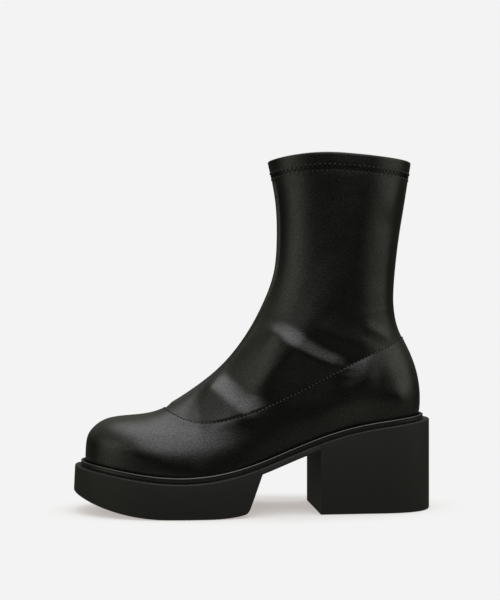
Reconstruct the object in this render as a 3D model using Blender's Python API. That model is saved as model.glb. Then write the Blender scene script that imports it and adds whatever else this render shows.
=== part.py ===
"""Stretch ankle boot: a hollow sock upper on a welted platform sole with a block heel.

All sizes are in millimetres, and MM turns them into metres where a mesh is made. The boot stands on
z = 0 with its toe towards -X. Its outer side faces -Y, so it is the left boot of a pair. The origin
lies on the floor under the middle of the sole.
"""

import bpy
import bmesh
import numpy as np

MM = 0.001

# Driving sizes of the sole, seen from above and from the side
TOE_X = -129.2
REAR_X = 130.0
TOE_SWING = 6.0
TOE_POWER = 2.35
HEEL_POWER = 2.5
BREAST_X = 45.0
TOE_SPRING = 14.6
ROLL_START_X = -63.0
FLAT_END_X = -31.0
REAR_LIFT = 2.0
RAKE_FOOT_X = -7.0
RAKE_TOP_X = 3.0
RAKE_ROUND = 4.0
WAIST_THICKNESS = 4.2
SOLE_FLARE = 0.8
TOP_EDGE_RADIUS = 0.8
LOW_EDGE_RADIUS = 1.0

# Sizes that join sole, welt, insole and upper
GAP = 0.3
UPPER_INSET = 7.4
WELT_HEIGHT = 4.2
WELT_OUTER_INSET = 4.2
INSOLE_THICKNESS = 3.0

# Sizes of the upper
WALL = 2.0
VAMP_LAP = 0.5
LAP_FADE = 0.3
COLLAR_SIDE_RISE = 3.0
COLLAR_FRONT_RISE = 1.0
BULGE_LIFT = 4.0
BULGE_HEIGHT = 20.0
HEEL_BULGE = 2.6
BALL_BULGE = 1.0
ANKLE_LOW = 28.0
ANKLE_HIGH = 105.0
CROWN_END_X = 20.0
CROWN_FADE = 40.0
CROWN_BLEND = 3.0

# How finely the curved faces are cut
SIDE_STATIONS = 31
VAMP_BANDS = 13
SHAFT_BANDS = 18
INNER_STRIDE = 2
ROUND_STEPS = 2

# Height of the ledge that carries the upper, along the sole
LEDGE_LINE = [
    # station, height
    (-130.0, 33.4),
    (-111.0, 30.8),
    (-83.0, 26.4),
    (-54.0, 24.1),
    (-25.0, 26.7),
    (3.0, 33.8),
    (45.0, 49.8),
    (73.0, 57.8),
    (101.0, 62.3),
    (130.0, 66.0),
]

# Plan of the sole: stations and half widths of each side at the ball, the waist and the heel
PLAN = {
    "outer": {"ball_x": -39.0, "ball": 47.6, "waist_x": 29.0, "waist": 35.0, "heel_x": 88.0, "heel": 34.4},
    "inner": {"ball_x": -57.0, "ball": 47.6, "waist_x": 25.0, "waist": 32.6, "heel_x": 88.0, "heel": 34.4},
}

# Outline of the upper from the side, up the front from the toe to the collar
FRONT_LINE = [
    # station, height
    (-122.0, 32.6),
    (-121.4, 42.7),
    (-120.0, 52.7),
    (-115.8, 59.5),
    (-106.5, 65.6),
    (-91.5, 68.2),
    (-76.5, 69.9),
    (-62.0, 75.0),
    (-43.4, 86.5),
    (-21.9, 103.8),
    (-3.3, 127.1),
    (8.7, 150.4),
    (15.8, 173.8),
    (17.8, 198.7),
    (16.6, 225.7),
    (11.1, 253.8),
]
VAMP_POINT = 6.84

# Outline of the upper from the side, up the back from the heel to the collar
BACK_LINE = [
    # station, height
    (122.6, 65.6),
    (123.2, 74.7),
    (123.2, 85.7),
    (121.5, 98.2),
    (117.3, 111.2),
    (111.5, 123.4),
    (106.7, 134.7),
    (104.3, 147.7),
    (104.4, 162.7),
    (107.1, 189.7),
    (111.9, 220.7),
    (117.1, 253.3),
]
COUNTER_POINT = 5.16

# The seam between vamp and shaft along the boot's side
SEAM_LINE = [
    # share of the way from front to back, height below the straight line between its ends
    (0.0, 0.0),
    (0.06, 8.2),
    (0.13, 15.4),
    (0.24, 20.0),
    (0.40, 19.0),
    (0.56, 14.1),
    (0.78, 5.6),
    (1.0, 0.0),
]

# How the upper rounds off towards its front and back, from the sole up to the collar
ROUNDING = [
    # ring level, front reach, front power, back reach, back power
    (0.0, 1.00, 2.35, 1.00, 2.5),
    (0.6, 0.80, 2.25, 1.20, 2.1),
    (1.0, 0.56, 2.15, 1.28, 2.0),
    (1.3, 0.62, 2.05, 1.20, 2.1),
    (1.6, 0.62, 2.0, 1.20, 2.0),
    (2.0, 0.62, 2.0, 1.25, 2.0),
]

# How the forefoot rounds off towards its top line: where that starts above the ledge, and how square it is
CROWN_LINE = {
    "outer": [
        # station, start, power
        (-120.0, 18.0, 2.4),
        (-85.0, 13.0, 2.2),
        (-60.0, 5.0, 1.9),
        (-40.0, 0.0, 1.65),
        (20.0, 0.0, 1.6),
    ],
    "inner": [
        (-120.0, 18.0, 2.4),
        (-85.0, 13.0, 2.2),
        (-45.0, 8.0, 2.0),
        (20.0, 6.0, 2.0),
    ],
}

# Half the width of the shaft at rising heights
SHAFT_WIDTH = [
    # height, half width
    (60.0, 33.0),
    (110.0, 31.5),
    (150.0, 31.0),
    (200.0, 32.5),
    (256.0, 34.5),
]

# Section of the welt: a flat band with a rounded bead on its inner edge
WELT_SECTION = [
    # share of the way from its outer edge to the upper, share of its height
    (0.00, 0.00),
    (0.02, 0.48),
    (0.10, 0.58),
    (0.30, 0.57),
    (0.36, 0.76),
    (0.52, 0.97),
    (0.70, 1.00),
    (0.86, 0.88),
    (0.94, 0.62),
    (1.00, 0.60),
    (1.00, 0.00),
]

FINISHES = {
    # piece: colour, roughness
    "upper": ((0.012, 0.012, 0.012, 1.0), 0.38),
    "insole": ((0.020, 0.019, 0.018, 1.0), 0.75),
    "welt": ((0.010, 0.010, 0.010, 1.0), 0.45),
    "outsole": ((0.014, 0.014, 0.013, 1.0), 0.70),
    "heel": ((0.014, 0.014, 0.013, 1.0), 0.70),
}


def spline(rows):
    """The smooth curve through rows of (place, value). It runs on straight past its ends."""
    places, values = np.array(rows, float).T
    step = np.diff(places)
    slope = np.diff(values) / step
    system = np.eye(len(places))
    load = np.zeros(len(places))
    for i in range(1, len(places) - 1):
        system[i, i - 1 : i + 2] = step[i - 1], 2 * (step[i - 1] + step[i]), step[i]
        load[i] = 6 * (slope[i] - slope[i - 1])
    bend = np.linalg.solve(system, load)
    first = slope[0] - step[0] * bend[1] / 6
    last = slope[-1] + step[-1] * bend[-2] / 6

    def at(place):
        inside = np.clip(place, places[0], places[-1])
        i = np.clip(np.searchsorted(places, inside) - 1, 0, len(step) - 1)
        before = inside - places[i]
        after = places[i + 1] - inside
        value = (bend[i] * after**3 + bend[i + 1] * before**3) / (6 * step[i])
        value = value + (values[i] / step[i] - bend[i] * step[i] / 6) * after
        value = value + (values[i + 1] / step[i] - bend[i + 1] * step[i] / 6) * before
        past = place - inside
        return value + np.where(past < 0, first, last) * past

    return at


def path(rows):
    """The smooth line through rows of points: row number in, station and height out."""
    order = np.arange(len(rows))
    station = spline([(i, row[0]) for i, row in zip(order, rows)])
    height = spline([(i, row[1]) for i, row in zip(order, rows)])
    return lambda place: np.stack([station(place), height(place)], axis=-1)


def ease(value):
    """Rises smoothly from 0 at 0 to 1 at 1."""
    value = np.clip(value, 0.0, 1.0)
    return value * value * (3 - 2 * value)


def rounded(share, power):
    """A round end: 0 at the tip, 1 from the full reach on."""
    return (1 - (1 - np.clip(share, 0.0, 1.0)) ** power) ** (1 / power)


ledge = spline(LEDGE_LINE)
front_line = path(FRONT_LINE)
back_line = path(BACK_LINE)
seam_drop = spline(SEAM_LINE)
shaft_width = spline(SHAFT_WIDTH)


def side_width(side, x, inset):
    """Half width of the plan at stations x, taken in by inset, without its round ends."""
    plan = PLAN[side]
    before = ease((x - plan["ball_x"]) / (plan["waist_x"] - plan["ball_x"]))
    behind = ease((x - plan["waist_x"]) / (plan["heel_x"] - plan["waist_x"]))
    to_waist = plan["ball"] + (plan["waist"] - plan["ball"]) * before
    to_heel = plan["waist"] + (plan["heel"] - plan["waist"]) * behind
    return np.where(x < plan["waist_x"], to_waist, to_heel) - inset


def reach(side, inset):
    """How far the plan's round toe and round heel reach along the boot."""
    toe_reach = PLAN[side]["ball_x"] - (TOE_X + inset)
    heel_reach = (REAR_X - inset) - PLAN[side]["heel_x"]
    return toe_reach, heel_reach


def swing(x):
    """How far the middle of the toe bends towards the inner side."""
    start = PLAN["inner"]["ball_x"]
    return TOE_SWING * np.clip((x - start) / (TOE_X - start), 0.0, 1.0) ** 2


def plan_edge(side, x, inset):
    """Sideways place of the sole's outline at stations x, taken in by inset."""
    toe_reach, heel_reach = reach(side, inset)
    width = side_width(side, x, inset)
    width = width * rounded((x - TOE_X - inset) / toe_reach, TOE_POWER)
    width = width * rounded((REAR_X - inset - x) / heel_reach, HEEL_POWER)
    return swing(x) + width * (-1 if side == "outer" else 1)


def spread(count):
    """Shares from 0 to 1 that crowd towards both ends."""
    return (1 - np.cos(np.pi * np.arange(count) / (count - 1))) / 2


def add_piece(name, points, faces):
    """Makes one named object from points in millimetres, its faces turned outwards."""
    mesh = bpy.data.meshes.new(name)
    mesh.from_pydata((np.asarray(points) * MM).tolist(), [], [list(face) for face in faces])
    work = bmesh.new()
    work.from_mesh(mesh)
    bmesh.ops.remove_doubles(work, verts=work.verts, dist=0.01 * MM)
    bmesh.ops.recalc_face_normals(work, faces=work.faces)
    work.to_mesh(mesh)
    work.free()
    mesh.shade_smooth()
    mesh.set_sharp_from_angle(angle=np.radians(35))
    piece = bpy.data.objects.new(name, mesh)
    bpy.context.scene.collection.objects.link(piece)
    colour, roughness = FINISHES[name]
    material = bpy.data.materials.new(name)
    material.use_nodes = True
    shader = material.node_tree.nodes["Principled BSDF"]
    shader.inputs["Base Color"].default_value = colour
    shader.inputs["Roughness"].default_value = roughness
    shader.inputs["Metallic"].default_value = 0.0
    mesh.materials.append(material)
    return piece


def rounded_edge(radius):
    """Steps of a rounded edge from its flat to its side, as (inset, drop) pairs."""
    turns = np.linspace(0.0, np.pi / 2, ROUND_STEPS + 1)
    return [(radius * (1 - np.sin(a)), radius * (1 - np.cos(a))) for a in turns]


def add_slab(name, stations_of, top, bottom, flare=0.0, round_top=0.0, round_low=0.0, inset=0.0):
    """A piece with the sole's outline between two height lines, with rounded edges and a flared foot.

    stations_of gives the stations of an outline that is taken in by a given inset.
    """
    levels = [(inset + inwards, top, -drop) for inwards, drop in rounded_edge(round_top)]
    for inwards, drop in reversed(rounded_edge(round_low)):
        levels.append((inset + inwards - flare, bottom, drop))
    points = []
    count = len(stations_of(inset))
    for taken_in, line, lift in levels:
        x = stations_of(taken_in)
        z = line(x) + lift
        for side in ("outer", "inner"):
            points += np.stack([x, plan_edge(side, x, taken_in), z], axis=-1).tolist()

    def corner(level, side, station):
        return (2 * level + side) * count + station

    faces = []
    for j in range(count - 1):
        for level in range(len(levels) - 1):
            for side in (0, 1):
                upper_edge = [corner(level, side, j), corner(level, side, j + 1)]
                lower_edge = [corner(level + 1, side, j + 1), corner(level + 1, side, j)]
                faces.append(upper_edge + lower_edge)
        for level in (0, len(levels) - 1):
            outer_edge = [corner(level, 0, j), corner(level, 0, j + 1)]
            inner_edge = [corner(level, 1, j + 1), corner(level, 1, j)]
            faces.append(outer_edge + inner_edge)
    for j in (0, count - 1):
        outer = [corner(level, 0, j) for level in range(len(levels))]
        inner = [corner(level, 1, j) for level in reversed(range(len(levels)))]
        faces.append(outer + inner)
    return add_piece(name, points, faces)


def outsole_under(x):
    """Underside of the platform and waist: toe spring, flat tread, raked back face and thin waist."""
    spring_radius = ((ROLL_START_X - TOE_X) ** 2 + TOE_SPRING**2) / (2 * TOE_SPRING)
    lift_radius = ((RAKE_FOOT_X - FLAT_END_X) ** 2 + REAR_LIFT**2) / (2 * REAR_LIFT)
    spring = spring_radius - np.sqrt(spring_radius**2 - np.clip(ROLL_START_X - x, 0.0, None) ** 2)
    behind = np.clip(x - FLAT_END_X, 0.0, RAKE_TOP_X - FLAT_END_X)
    tread = spring + lift_radius - np.sqrt(lift_radius**2 - behind**2)
    waist = ledge(x) - WAIST_THICKNESS
    steepness = (ledge(RAKE_TOP_X) - WAIST_THICKNESS - REAR_LIFT) / (RAKE_TOP_X - RAKE_FOOT_X)
    rake = REAR_LIFT + steepness * (x - RAKE_FOOT_X)
    platform = (tread + rake + np.sqrt((tread - rake) ** 2 + RAKE_ROUND**2)) / 2
    platform = np.where(x < FLAT_END_X, tread, platform)
    return np.minimum(platform, waist)


def outsole_stations(inset):
    """Stations of the outsole from toe to heel breast, close together at the toe and the raked face."""
    toe = TOE_X + inset
    round_toe = toe + (ROLL_START_X - toe) * (1 - np.cos(np.pi / 2 * np.linspace(0.0, 1.0, 19)))
    tread = np.linspace(ROLL_START_X, RAKE_FOOT_X - RAKE_ROUND, 9)[1:]
    rake = np.linspace(RAKE_FOOT_X - RAKE_ROUND, RAKE_TOP_X, 13)[1:]
    waist = np.linspace(RAKE_TOP_X, BREAST_X - GAP, 7)[1:]
    return np.concatenate([round_toe, tread, rake, waist])


def heel_stations(inset):
    """Stations of the heel from its breast to its round back."""
    rear = REAR_X - inset
    return rear - (rear - BREAST_X) * (1 - np.sin(np.pi / 2 * np.linspace(0.0, 1.0, 23)))


def full_stations(inset):
    """Stations of a piece that runs from toe to heel."""
    toe = TOE_X + inset
    rear = REAR_X - inset
    return toe + (rear - toe) * spread(SIDE_STATIONS)


def plan_ring(inset, lift):
    """A closed loop of points along the plan, lift above the ledge."""
    x = full_stations(inset)
    z = ledge(x) + lift
    outer = np.stack([x, plan_edge("outer", x, inset), z], axis=-1)
    inner = np.stack([x, plan_edge("inner", x, inset), z], axis=-1)
    return np.concatenate([outer, inner[-2:0:-1]])


def ring_faces(first, second, count):
    """Faces between two closed loops of count points that start at these point numbers."""
    after = [(j + 1) % count for j in range(count)]
    return [(first + j, first + after[j], second + after[j], second + j) for j in range(count)]


def add_welt():
    """The strip around the upper's foot: its section follows the plan and closes on itself."""
    width = UPPER_INSET - GAP - WELT_OUTER_INSET
    rings = []
    for across, up in WELT_SECTION:
        rings.append(plan_ring(WELT_OUTER_INSET + across * width, GAP + up * (WELT_HEIGHT - GAP)))
    count = len(rings[0])
    faces = []
    for i in range(len(rings)):
        faces += ring_faces(i * count, (i + 1) % len(rings) * count, count)
    return add_piece("welt", np.concatenate(rings), faces)


def patch(low, high, front, back):
    """A net of points from a low to a high line that keeps to the front and back lines at its ends."""
    share = np.linspace(0.0, 1.0, len(front))[:, None, None]
    along = spread(SIDE_STATIONS)[None, :, None]
    net = (1 - share) * low + share * high
    at_front = front[:, None] - net[:, :1]
    at_back = back[:, None] - net[:, -1:]
    return net + (1 - along) ** 2 * at_front + along**2 * at_back


def line_between(start, end, drop):
    """Points from start to end, lowered by drop, which is a function of the share of the way."""
    share = spread(SIDE_STATIONS)
    points = np.outer(1 - share, start) + np.outer(share, end)
    points[:, 1] -= drop(share)
    return points


def collar_drop(share):
    """The collar stands higher at its sides than at its ends, and most of all towards the front."""
    return -COLLAR_SIDE_RISE * np.sin(np.pi * share) - COLLAR_FRONT_RISE * np.sin(2 * np.pi * share)


def side_net():
    """Rings of the upper seen from the side: sole line, vamp, seam at level 1, shaft and collar."""
    x = full_stations(UPPER_INSET)
    foot = np.stack([x, ledge(x) + GAP], axis=-1)
    vamp_front = front_line(np.linspace(0.0, VAMP_POINT, VAMP_BANDS + 1))
    vamp_back = back_line(np.linspace(0.0, COUNTER_POINT, VAMP_BANDS + 1))
    shaft_front = front_line(np.linspace(VAMP_POINT, len(FRONT_LINE) - 1, SHAFT_BANDS + 1))
    shaft_back = back_line(np.linspace(COUNTER_POINT, len(BACK_LINE) - 1, SHAFT_BANDS + 1))
    vamp_front[0] = foot[0]
    vamp_back[0] = foot[-1]
    seam = line_between(vamp_front[-1], vamp_back[-1], seam_drop)
    collar = line_between(shaft_front[-1], shaft_back[-1], collar_drop)
    vamp = patch(foot, seam, vamp_front, vamp_back)
    shaft = patch(seam, collar, shaft_front, shaft_back)
    vamp_levels = np.linspace(0, 1, VAMP_BANDS + 1)
    shaft_levels = np.linspace(1, 2, SHAFT_BANDS + 1)
    return np.concatenate([vamp, shaft[1:]]), np.concatenate([vamp_levels, shaft_levels[1:]])


def body_width(side, x, z):
    """Half width of the upper before it rounds off: the last's plan below, the shaft above."""
    rise = z - ledge(x)
    ball_x = PLAN[side]["ball_x"]
    heel_x = PLAN[side]["heel_x"]
    bulge = BALL_BULGE + (HEEL_BULGE - BALL_BULGE) * ease((x - ball_x) / (heel_x - ball_x))
    foot = side_width(side, x, UPPER_INSET) + bulge * ease((rise - BULGE_LIFT) / BULGE_HEIGHT)
    share = ease((rise - ANKLE_LOW) / (ANKLE_HIGH - ANKLE_LOW))
    return foot + (shaft_width(z) - foot) * share


def crown(side, x, z):
    """How the forefoot narrows towards its top line, as a share of its full width."""
    profile = front_line(np.linspace(0.0, len(FRONT_LINE) - 3, 200))
    top = np.interp(x, profile[:, 0], profile[:, 1])
    stations, starts, powers = np.array(CROWN_LINE[side]).T
    start = ledge(x) + np.interp(x, stations, starts)
    power = np.interp(x, stations, powers)
    share = np.clip((z - start) / np.maximum(top - start, 1.0), 0.0, 1.0)
    narrow = (1 - share**power) ** (1 / power)
    return 1 - (1 - narrow) * ease((CROWN_END_X - x) / CROWN_FADE)


def lesser(first, second):
    """The smaller of two shares, with a soft change from one to the other."""
    total = np.maximum(first, 1e-3) ** -CROWN_BLEND + np.maximum(second, 1e-3) ** -CROWN_BLEND
    return (total - 1) ** (-1 / CROWN_BLEND)


def upper_skin():
    """Outer face of the upper's wall: closed rings from the front along the outer side and back."""
    net, levels = side_net()
    x = net[..., 0]
    z = net[..., 1]
    columns = np.array(ROUNDING).T
    front_reach, front_power, back_reach, back_power = [
        np.interp(levels, columns[0], column)[:, None] for column in columns[1:]
    ]
    halves = []
    for side, sign in (("outer", -1), ("inner", 1)):
        toe_reach, heel_reach = reach(side, UPPER_INSET)
        front = rounded((x - x[:, :1]) / (toe_reach * front_reach), front_power)
        back = rounded((x[:, -1:] - x) / (heel_reach * back_reach), back_power)
        width = body_width(side, x, z) * lesser(front, crown(side, x, z)) * back
        halves.append(np.stack([x, swing(x) + sign * width, z], axis=-1))
    return np.concatenate([halves[0], halves[1][:, -2:0:-1]], axis=1), levels


def outward(skin):
    """Unit directions that point out of the skin at each of its points."""
    along = np.roll(skin, -1, axis=1) - np.roll(skin, 1, axis=1)
    normal = np.cross(along, np.gradient(skin, axis=0))
    return normal / np.linalg.norm(normal, axis=-1, keepdims=True)


def add_upper():
    """The hollow upper: vamp and shaft with a lapped seam, open at the collar and underneath."""
    skin, levels = upper_skin()
    direction = outward(skin)
    count = skin.shape[1]
    lap = VAMP_LAP * ease(levels / LAP_FADE)[:, None, None] * direction
    vamp = (skin + lap)[levels <= 1]
    shaft = skin[levels >= 1]
    lining_rings = sorted({0, *range(len(skin) - 1, 0, -INNER_STRIDE)}, reverse=True)
    inner = (skin - WALL * direction)[lining_rings]
    rings = np.concatenate([vamp, shaft, inner])
    faces = []
    for i in range(len(rings)):
        faces += ring_faces(i * count, (i + 1) % len(rings) * count, count)
    return add_piece("upper", rings.reshape(-1, 3), faces)


def build():
    """Clears the scene and adds the five pieces."""
    for old in list(bpy.data.objects):
        bpy.data.objects.remove(old)
    add_slab(
        "outsole", outsole_stations, ledge, outsole_under,
        flare=SOLE_FLARE, round_top=TOP_EDGE_RADIUS, round_low=LOW_EDGE_RADIUS,
    )
    add_slab(
        "heel", heel_stations, ledge, np.zeros_like,
        round_top=TOP_EDGE_RADIUS, round_low=LOW_EDGE_RADIUS,
    )
    add_welt()
    add_slab(
        "insole", full_stations, lambda x: ledge(x) + GAP + INSOLE_THICKNESS, lambda x: ledge(x) + GAP,
        inset=UPPER_INSET + WALL + GAP,
    )
    add_upper()


build()
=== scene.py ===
"""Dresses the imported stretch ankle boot: leather upper with its creases and stitches, welt, sole and heel.

The file is laid out as an add-on and is run as a script. Shapes are worked out in millimetres in the boot's
own frame, with the toe towards -X, the outer side towards -Y and the floor at z = 0. MM turns them into
metres where a mesh is made. Sizes and colours that a user would change are properties, in metres.
"""

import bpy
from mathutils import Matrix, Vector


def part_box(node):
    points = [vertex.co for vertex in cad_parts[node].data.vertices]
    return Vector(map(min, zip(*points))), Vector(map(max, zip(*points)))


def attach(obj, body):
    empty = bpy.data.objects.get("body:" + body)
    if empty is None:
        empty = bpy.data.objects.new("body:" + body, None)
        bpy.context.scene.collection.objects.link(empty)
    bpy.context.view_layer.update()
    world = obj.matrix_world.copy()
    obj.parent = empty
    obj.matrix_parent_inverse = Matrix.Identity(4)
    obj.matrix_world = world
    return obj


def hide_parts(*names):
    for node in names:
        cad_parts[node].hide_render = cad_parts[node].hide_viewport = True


bl_info = {
    "name": "Stretch ankle boot",
    "version": (1, 0, 0),
    "blender": (4, 5, 0),
    "location": "View3D > Sidebar > Boot",
    "description": "Builds a black stretch ankle boot on a platform sole around its packed solids",
    "category": "Object",
}

import bmesh
import bpy
import numpy as np
from bpy.props import FloatProperty, FloatVectorProperty, PointerProperty
from mathutils import Vector

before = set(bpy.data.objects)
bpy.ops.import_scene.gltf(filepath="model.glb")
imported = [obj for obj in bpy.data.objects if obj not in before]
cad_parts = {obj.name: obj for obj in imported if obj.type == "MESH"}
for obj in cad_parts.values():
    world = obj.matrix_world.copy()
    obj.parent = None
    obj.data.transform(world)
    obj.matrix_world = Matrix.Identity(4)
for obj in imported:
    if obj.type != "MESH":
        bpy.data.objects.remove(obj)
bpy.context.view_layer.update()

MM = 0.001

# Sizes of the sole, seen from above and from the side; its ends come from the frame
SOLE_FLARE = 0.8
TOE_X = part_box("outsole")[0].x / MM + SOLE_FLARE
REAR_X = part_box("heel")[1].x / MM
BREAST_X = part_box("heel")[0].x / MM
TOE_SWING = 6.0
TOE_POWER = 2.35
HEEL_POWER = 2.5
TOE_SPRING = 14.6
ROLL_START_X = -63.0
FLAT_END_X = -31.0
REAR_LIFT = 2.0
RAKE_FOOT_X = -7.0
RAKE_TOP_X = 3.0
RAKE_ROUND = 4.0
WAIST_THICKNESS = 4.2
TOP_EDGE_RADIUS = 0.8
LOW_EDGE_RADIUS = 1.0

# Sizes that join sole, welt, insole and upper
GAP = 0.3
UPPER_INSET = 7.4
WELT_HEIGHT = 4.2
WELT_OUTER_INSET = 4.2
INSOLE_THICKNESS = 3.0

# Sizes of the upper
WALL = 2.0
LAP_FADE = 0.3
COLLAR_SIDE_RISE = 3.0
COLLAR_FRONT_RISE = 1.0
BULGE_LIFT = 4.0
BULGE_HEIGHT = 20.0
HEEL_BULGE = 2.6
BALL_BULGE = 1.0
ANKLE_LOW = 28.0
ANKLE_HIGH = 105.0
CROWN_END_X = 20.0
CROWN_FADE = 40.0
CROWN_BLEND = 3.0
RIM_RADIUS = 0.6
TUCK = 0.45
TUCK_LOW = 3.2
TUCK_HEIGHT = 4.5

# Least height that the forefoot rounds off over, and least share of its width, which keep its formulas sound
LEAST_CROWN = 1.0
LEAST_SHARE = 1e-3

# How finely the pieces are cut, how near points are merged, and the angle in degrees of a sharp edge
UPPER_STATIONS = 181
VAMP_BANDS = 40
SHAFT_BANDS = 100
LINING_STRIDE = 2
RIM_STEPS = 6
PROFILE_POINTS = 200
SOLE_STATIONS = 181
TOE_STATIONS = 60
TREAD_STATIONS = 24
RAKE_STATIONS = 30
WAIST_STATIONS = 24
HEEL_STATIONS = 80
EDGE_STEPS = 5
WELT_BEAD_POINTS = 19
MERGE_DISTANCE = 0.01
SHARP_ANGLE = 50.0

# Height of the ledge that carries the upper, along the sole
LEDGE_LINE = [
    # station, height
    (-130.0, 33.4),
    (-111.0, 30.8),
    (-83.0, 26.4),
    (-54.0, 24.1),
    (-25.0, 26.7),
    (3.0, 33.8),
    (45.0, 49.8),
    (73.0, 57.8),
    (101.0, 62.3),
    (130.0, 66.0),
]

# Plan of the sole: stations and half widths of each side at the ball, the waist and the heel
PLAN = {
    "outer": {"ball_x": -39.0, "ball": 47.6, "waist_x": 29.0, "waist": 35.0, "heel_x": 88.0, "heel": 34.4},
    "inner": {"ball_x": -57.0, "ball": 47.6, "waist_x": 25.0, "waist": 32.6, "heel_x": 88.0, "heel": 34.4},
}

# Outline of the upper from the side, up the front from the toe to the collar
FRONT_LINE = [
    # station, height
    (-122.0, 32.6),
    (-121.4, 42.7),
    (-120.0, 52.7),
    (-115.8, 59.5),
    (-106.5, 65.6),
    (-91.5, 68.2),
    (-76.5, 69.9),
    (-62.0, 75.0),
    (-43.4, 86.5),
    (-21.9, 103.8),
    (-3.3, 127.1),
    (8.7, 150.4),
    (15.8, 173.8),
    (17.8, 198.7),
    (16.6, 225.7),
    (11.1, 253.8),
]
# Rows of the front line, counted from 0: where the vamp ends, and the last one that the forefoot rounds to
VAMP_POINT = 6.84
CROWN_LAST_POINT = len(FRONT_LINE) - 3

# Outline of the upper from the side, up the back from the heel to the collar
BACK_LINE = [
    # station, height
    (122.6, 65.6),
    (123.2, 74.7),
    (123.2, 85.7),
    (121.5, 98.2),
    (117.3, 111.2),
    (111.5, 123.4),
    (106.7, 134.7),
    (104.3, 147.7),
    (104.4, 162.7),
    (107.1, 189.7),
    (111.9, 220.7),
    (117.1, 253.3),
]
# Row of the back line where the counter ends
COUNTER_POINT = 5.16

# The seam between vamp and shaft along the boot's side
SEAM_LINE = [
    # share of the way from front to back, height below the straight line between its ends
    (0.0, 0.0),
    (0.06, 8.2),
    (0.13, 15.4),
    (0.24, 20.0),
    (0.40, 19.0),
    (0.56, 14.1),
    (0.78, 5.6),
    (1.0, 0.0),
]

# Levels of the upper's rings: 0 at the sole, then these at the seam and the collar
SEAM_LEVEL = 1.0
COLLAR_LEVEL = 2.0

# How the upper rounds off towards its front and back, from the sole up to the collar
ROUNDING = [
    # ring level, front reach, front power, back reach, back power
    (0.0, 1.00, 2.35, 1.00, 2.5),
    (0.6, 0.80, 2.25, 1.20, 2.1),
    (1.0, 0.56, 2.15, 1.28, 2.0),
    (1.3, 0.62, 2.05, 1.20, 2.1),
    (1.6, 0.62, 2.0, 1.20, 2.0),
    (2.0, 0.62, 2.0, 1.25, 2.0),
]

# How the forefoot rounds off towards its top line: where that starts above the ledge, and how square it is
CROWN_LINE = {
    "outer": [
        # station, start, power
        (-120.0, 18.0, 2.4),
        (-85.0, 13.0, 2.2),
        (-60.0, 5.0, 1.9),
        (-40.0, 0.0, 1.65),
        (20.0, 0.0, 1.6),
    ],
    "inner": [
        (-120.0, 18.0, 2.4),
        (-85.0, 13.0, 2.2),
        (-45.0, 8.0, 2.0),
        (20.0, 6.0, 2.0),
    ],
}

# Half the width of the shaft at rising heights
SHAFT_WIDTH = [
    # height, half width
    (60.0, 33.0),
    (110.0, 31.5),
    (150.0, 31.0),
    (200.0, 32.5),
    (256.0, 34.5),
]

# Section of the welt: a band, a groove, a round bead and a flat back
WELT_BAND = [
    # share of the way from its outer edge to the upper, share of its height
    (0.14, 0.00),
    (0.10, 0.06),
    (0.10, 0.54),
    (0.10, 0.58),
    (0.20, 0.62),
]
WELT_BEAD_MIDDLE = (0.42, 0.80)
WELT_BEAD_REACH = (0.36, 0.20)
WELT_BEAD_TURN = (215.0, -35.0)
WELT_BACK = [(1.0, 0.5), (1.0, 0.0)]

# Creases of the worn leather on the boot's side, each a ridge along a bent line. The main two have a steep
# upper flank, which catches the light from overhead, and a wide lower one that carries on below the seam.
CREASES = {
    # line: station and height of its start, bend and end
    # height, above, below: share of the full crease height and widths of both flanks, at start and end
    # crest: roundness of the ridge; taper: share of the line that each end fades over
    # inner, carry: shares that show on the inner side and below the seam
    "instep": {
        "line": ((-36.0, 92.0), (-7.0, 68.0), (24.0, 43.0)),
        "height": (1.12, 0.3), "above": (12.0, 19.0), "below": (26.0, 36.0),
        "crest": 2.6, "taper": (0.12, 0.5), "inner": 0.8, "carry": 0.6,
    },
    "ankle": {
        "line": ((4.0, 137.0), (34.0, 114.0), (72.0, 101.0)),
        "height": (0.98, 0.5), "above": (11.5, 8.5), "below": (42.0, 36.0),
        "crest": 1.6, "taper": (0.22, 0.24), "inner": 0.7, "carry": 1.0,
    },
    "tendon": {
        "line": ((74.0, 134.0), (88.0, 129.0), (103.0, 121.5)),
        "height": (0.14, 0.18), "above": (6.0, 5.0), "below": (6.0, 6.0),
        "crest": 1.3, "taper": (0.3, 0.3), "inner": 1.0, "carry": 0.0,
    },
    "hollow": {
        "line": ((40.0, 136.0), (61.0, 124.5), (90.0, 119.0)),
        "height": (0.20, 0.20), "above": (13.0, 11.0), "below": (11.0, 11.0),
        "crest": 2.0, "taper": (0.3, 0.3), "inner": 0.8, "carry": 0.0,
    },
}

# Points along a crease's line, bend of its flanks, distance that creases keep from the centre seams and ease
# in over, and how far above the seam they reach their height and below it they carry on
CREASE_STEPS = 60
CREASE_POWER = 1.4
CREASE_CLEAR = 2.0
CREASE_EASE = 6.0
SEAM_FADE = 1.5
SEAM_CARRY = 36.0

# The quarter swells out under the seam, so that the leather there faces up a little. The stations are where
# the swell starts, is full, starts to sink, has sunk to its share at the back, starts to end and ends.
QUARTER_SWELL = 2.9
QUARTER_RISE = 16.0
QUARTER_FALL = 34.0
QUARTER_STATIONS = (44.0, 72.0, 74.0, 90.0, 96.0, 118.0)
QUARTER_BACK = 0.2

# Soft swells and hollows, where the leather doesn't lie quite even
SWELLS = {
    # station, height, reach along, reach up, rise
    "back_high": (96.0, 222.0, 9.0, 12.0, 0.55),
    "back_hollow": (99.0, 207.0, 8.0, 9.0, -0.55),
    "back_middle": (94.0, 182.0, 9.0, 16.0, 0.45),
    "back_low": (92.0, 156.0, 9.0, 10.0, 0.45),
    "front_high": (30.0, 214.0, 10.0, 14.0, 0.3),
    "front_low": (30.0, 172.0, 10.0, 15.0, 0.35),
    "counter": (104.0, 80.0, 7.0, 12.0, 1.3),
}

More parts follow.
